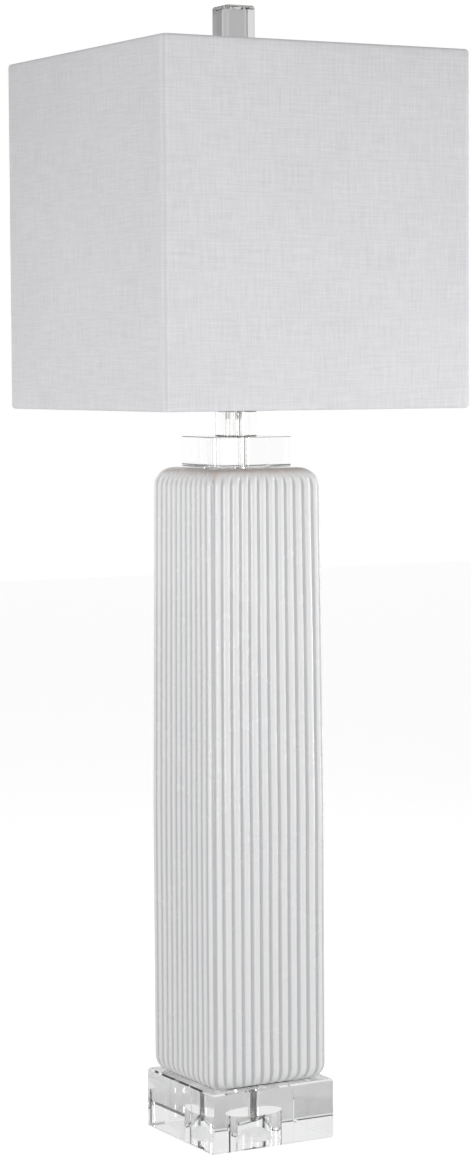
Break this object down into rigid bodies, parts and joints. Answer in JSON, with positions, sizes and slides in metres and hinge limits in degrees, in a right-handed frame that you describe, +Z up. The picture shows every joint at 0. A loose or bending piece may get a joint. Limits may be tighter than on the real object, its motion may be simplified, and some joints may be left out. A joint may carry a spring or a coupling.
{
  "type": "table lamp",
  "caption": "Column table lamp: ribbed white ceramic column on a clear block base, with a clear neck and finial and a square hardback linen shade.",
  "frame": {"origin": "centre of the underside of the base, on the surface the lamp stands on", "axes": "+Z up the column; -Y is the front, where the switch knob points; the cord outlet is at the back, +Y"},
  "size_m": [0.28, 0.28, 0.9338],
  "materials": {
    "clear_crystal": "polished",
    "zinc_steel": "satin",
    "clear_vinyl": "gloss",
    "white_glaze": "gloss",
    "white_nylon": "satin",
    "polished_nickel": "polished",
    "grey_card": "matte",
    "black_moulding": "satin",
    "socket_brass": "satin",
    "black_knob": "satin",
    "coated_wire": "satin",
    "white_styrene": "satin",
    "white_linen": "matte"
  },
  "bodies": {
    "lamp": {"crystal_base": "clear_crystal", "base_washer": "zinc_steel", "base_nut": "zinc_steel", "threaded_rod": "zinc_steel", "foot_gasket": "clear_vinyl", "column": "white_glaze", "cord_bushing": "white_nylon", "top_gasket": "clear_vinyl", "crystal_plate": "clear_crystal", "crystal_neck": "clear_crystal", "neck_cap": "polished_nickel", "harp_saddle": "polished_nickel", "lock_nut": "zinc_steel", "socket_cap": "polished_nickel", "socket_set_screw": "zinc_steel", "socket_shell": "polished_nickel", "socket_liner": "grey_card", "socket_insulator": "black_moulding", "terminal_screws": "socket_brass", "screw_shell": "socket_brass", "centre_contact": "socket_brass"},
    "knob": {"switch_knob": "black_knob"},
    "harp": {"harp": "polished_nickel"},
    "ferrule_left": {"ferrule_left": "polished_nickel"},
    "ferrule_right": {"ferrule_right": "polished_nickel"},
    "stud": {"harp_stud": "polished_nickel"},
    "shade": {"spider_fitter": "polished_nickel", "shade_top_wire": "coated_wire", "shade_bottom_wire": "coated_wire", "shade_liner": "white_styrene", "shade_linen": "white_linen"},
    "finial": {"finial_base": "polished_nickel", "finial_crystal": "clear_crystal"}
  },
  "joints": [
    {"name": "switch_turn", "type": "hinge", "parent": "lamp", "child": "knob", "pos_m": [0, -0.022, 0.6424], "axis": [0, -1, 0], "continuous": true},
    {"name": "harp_lift", "type": "slide", "parent": "lamp", "child": "harp", "axis": [0, 0, 1], "range_m": [0, 0.02]},
    {"name": "ferrule_left_slide", "type": "slide", "parent": "harp", "child": "ferrule_left", "axis": [0, 0, 1], "range_m": [0, 0.014]},
    {"name": "ferrule_right_slide", "type": "slide", "parent": "harp", "child": "ferrule_right", "axis": [0, 0, 1], "range_m": [0, 0.014]},
    {"name": "shade_swivel", "type": "hinge", "parent": "harp", "child": "stud", "pos_m": [0, 0, 0.8739], "axis": [0, 0, 1], "continuous": true},
    {"name": "shade_lift", "type": "slide", "parent": "stud", "child": "shade", "axis": [0, 0, 1], "range_m": [0, 0.3]},
    {"name": "finial_turn", "type": "hinge", "parent": "shade", "child": "finial", "pos_m": [0, 0, 0.9], "axis": [0, 0, 1], "continuous": true}
  ]
}
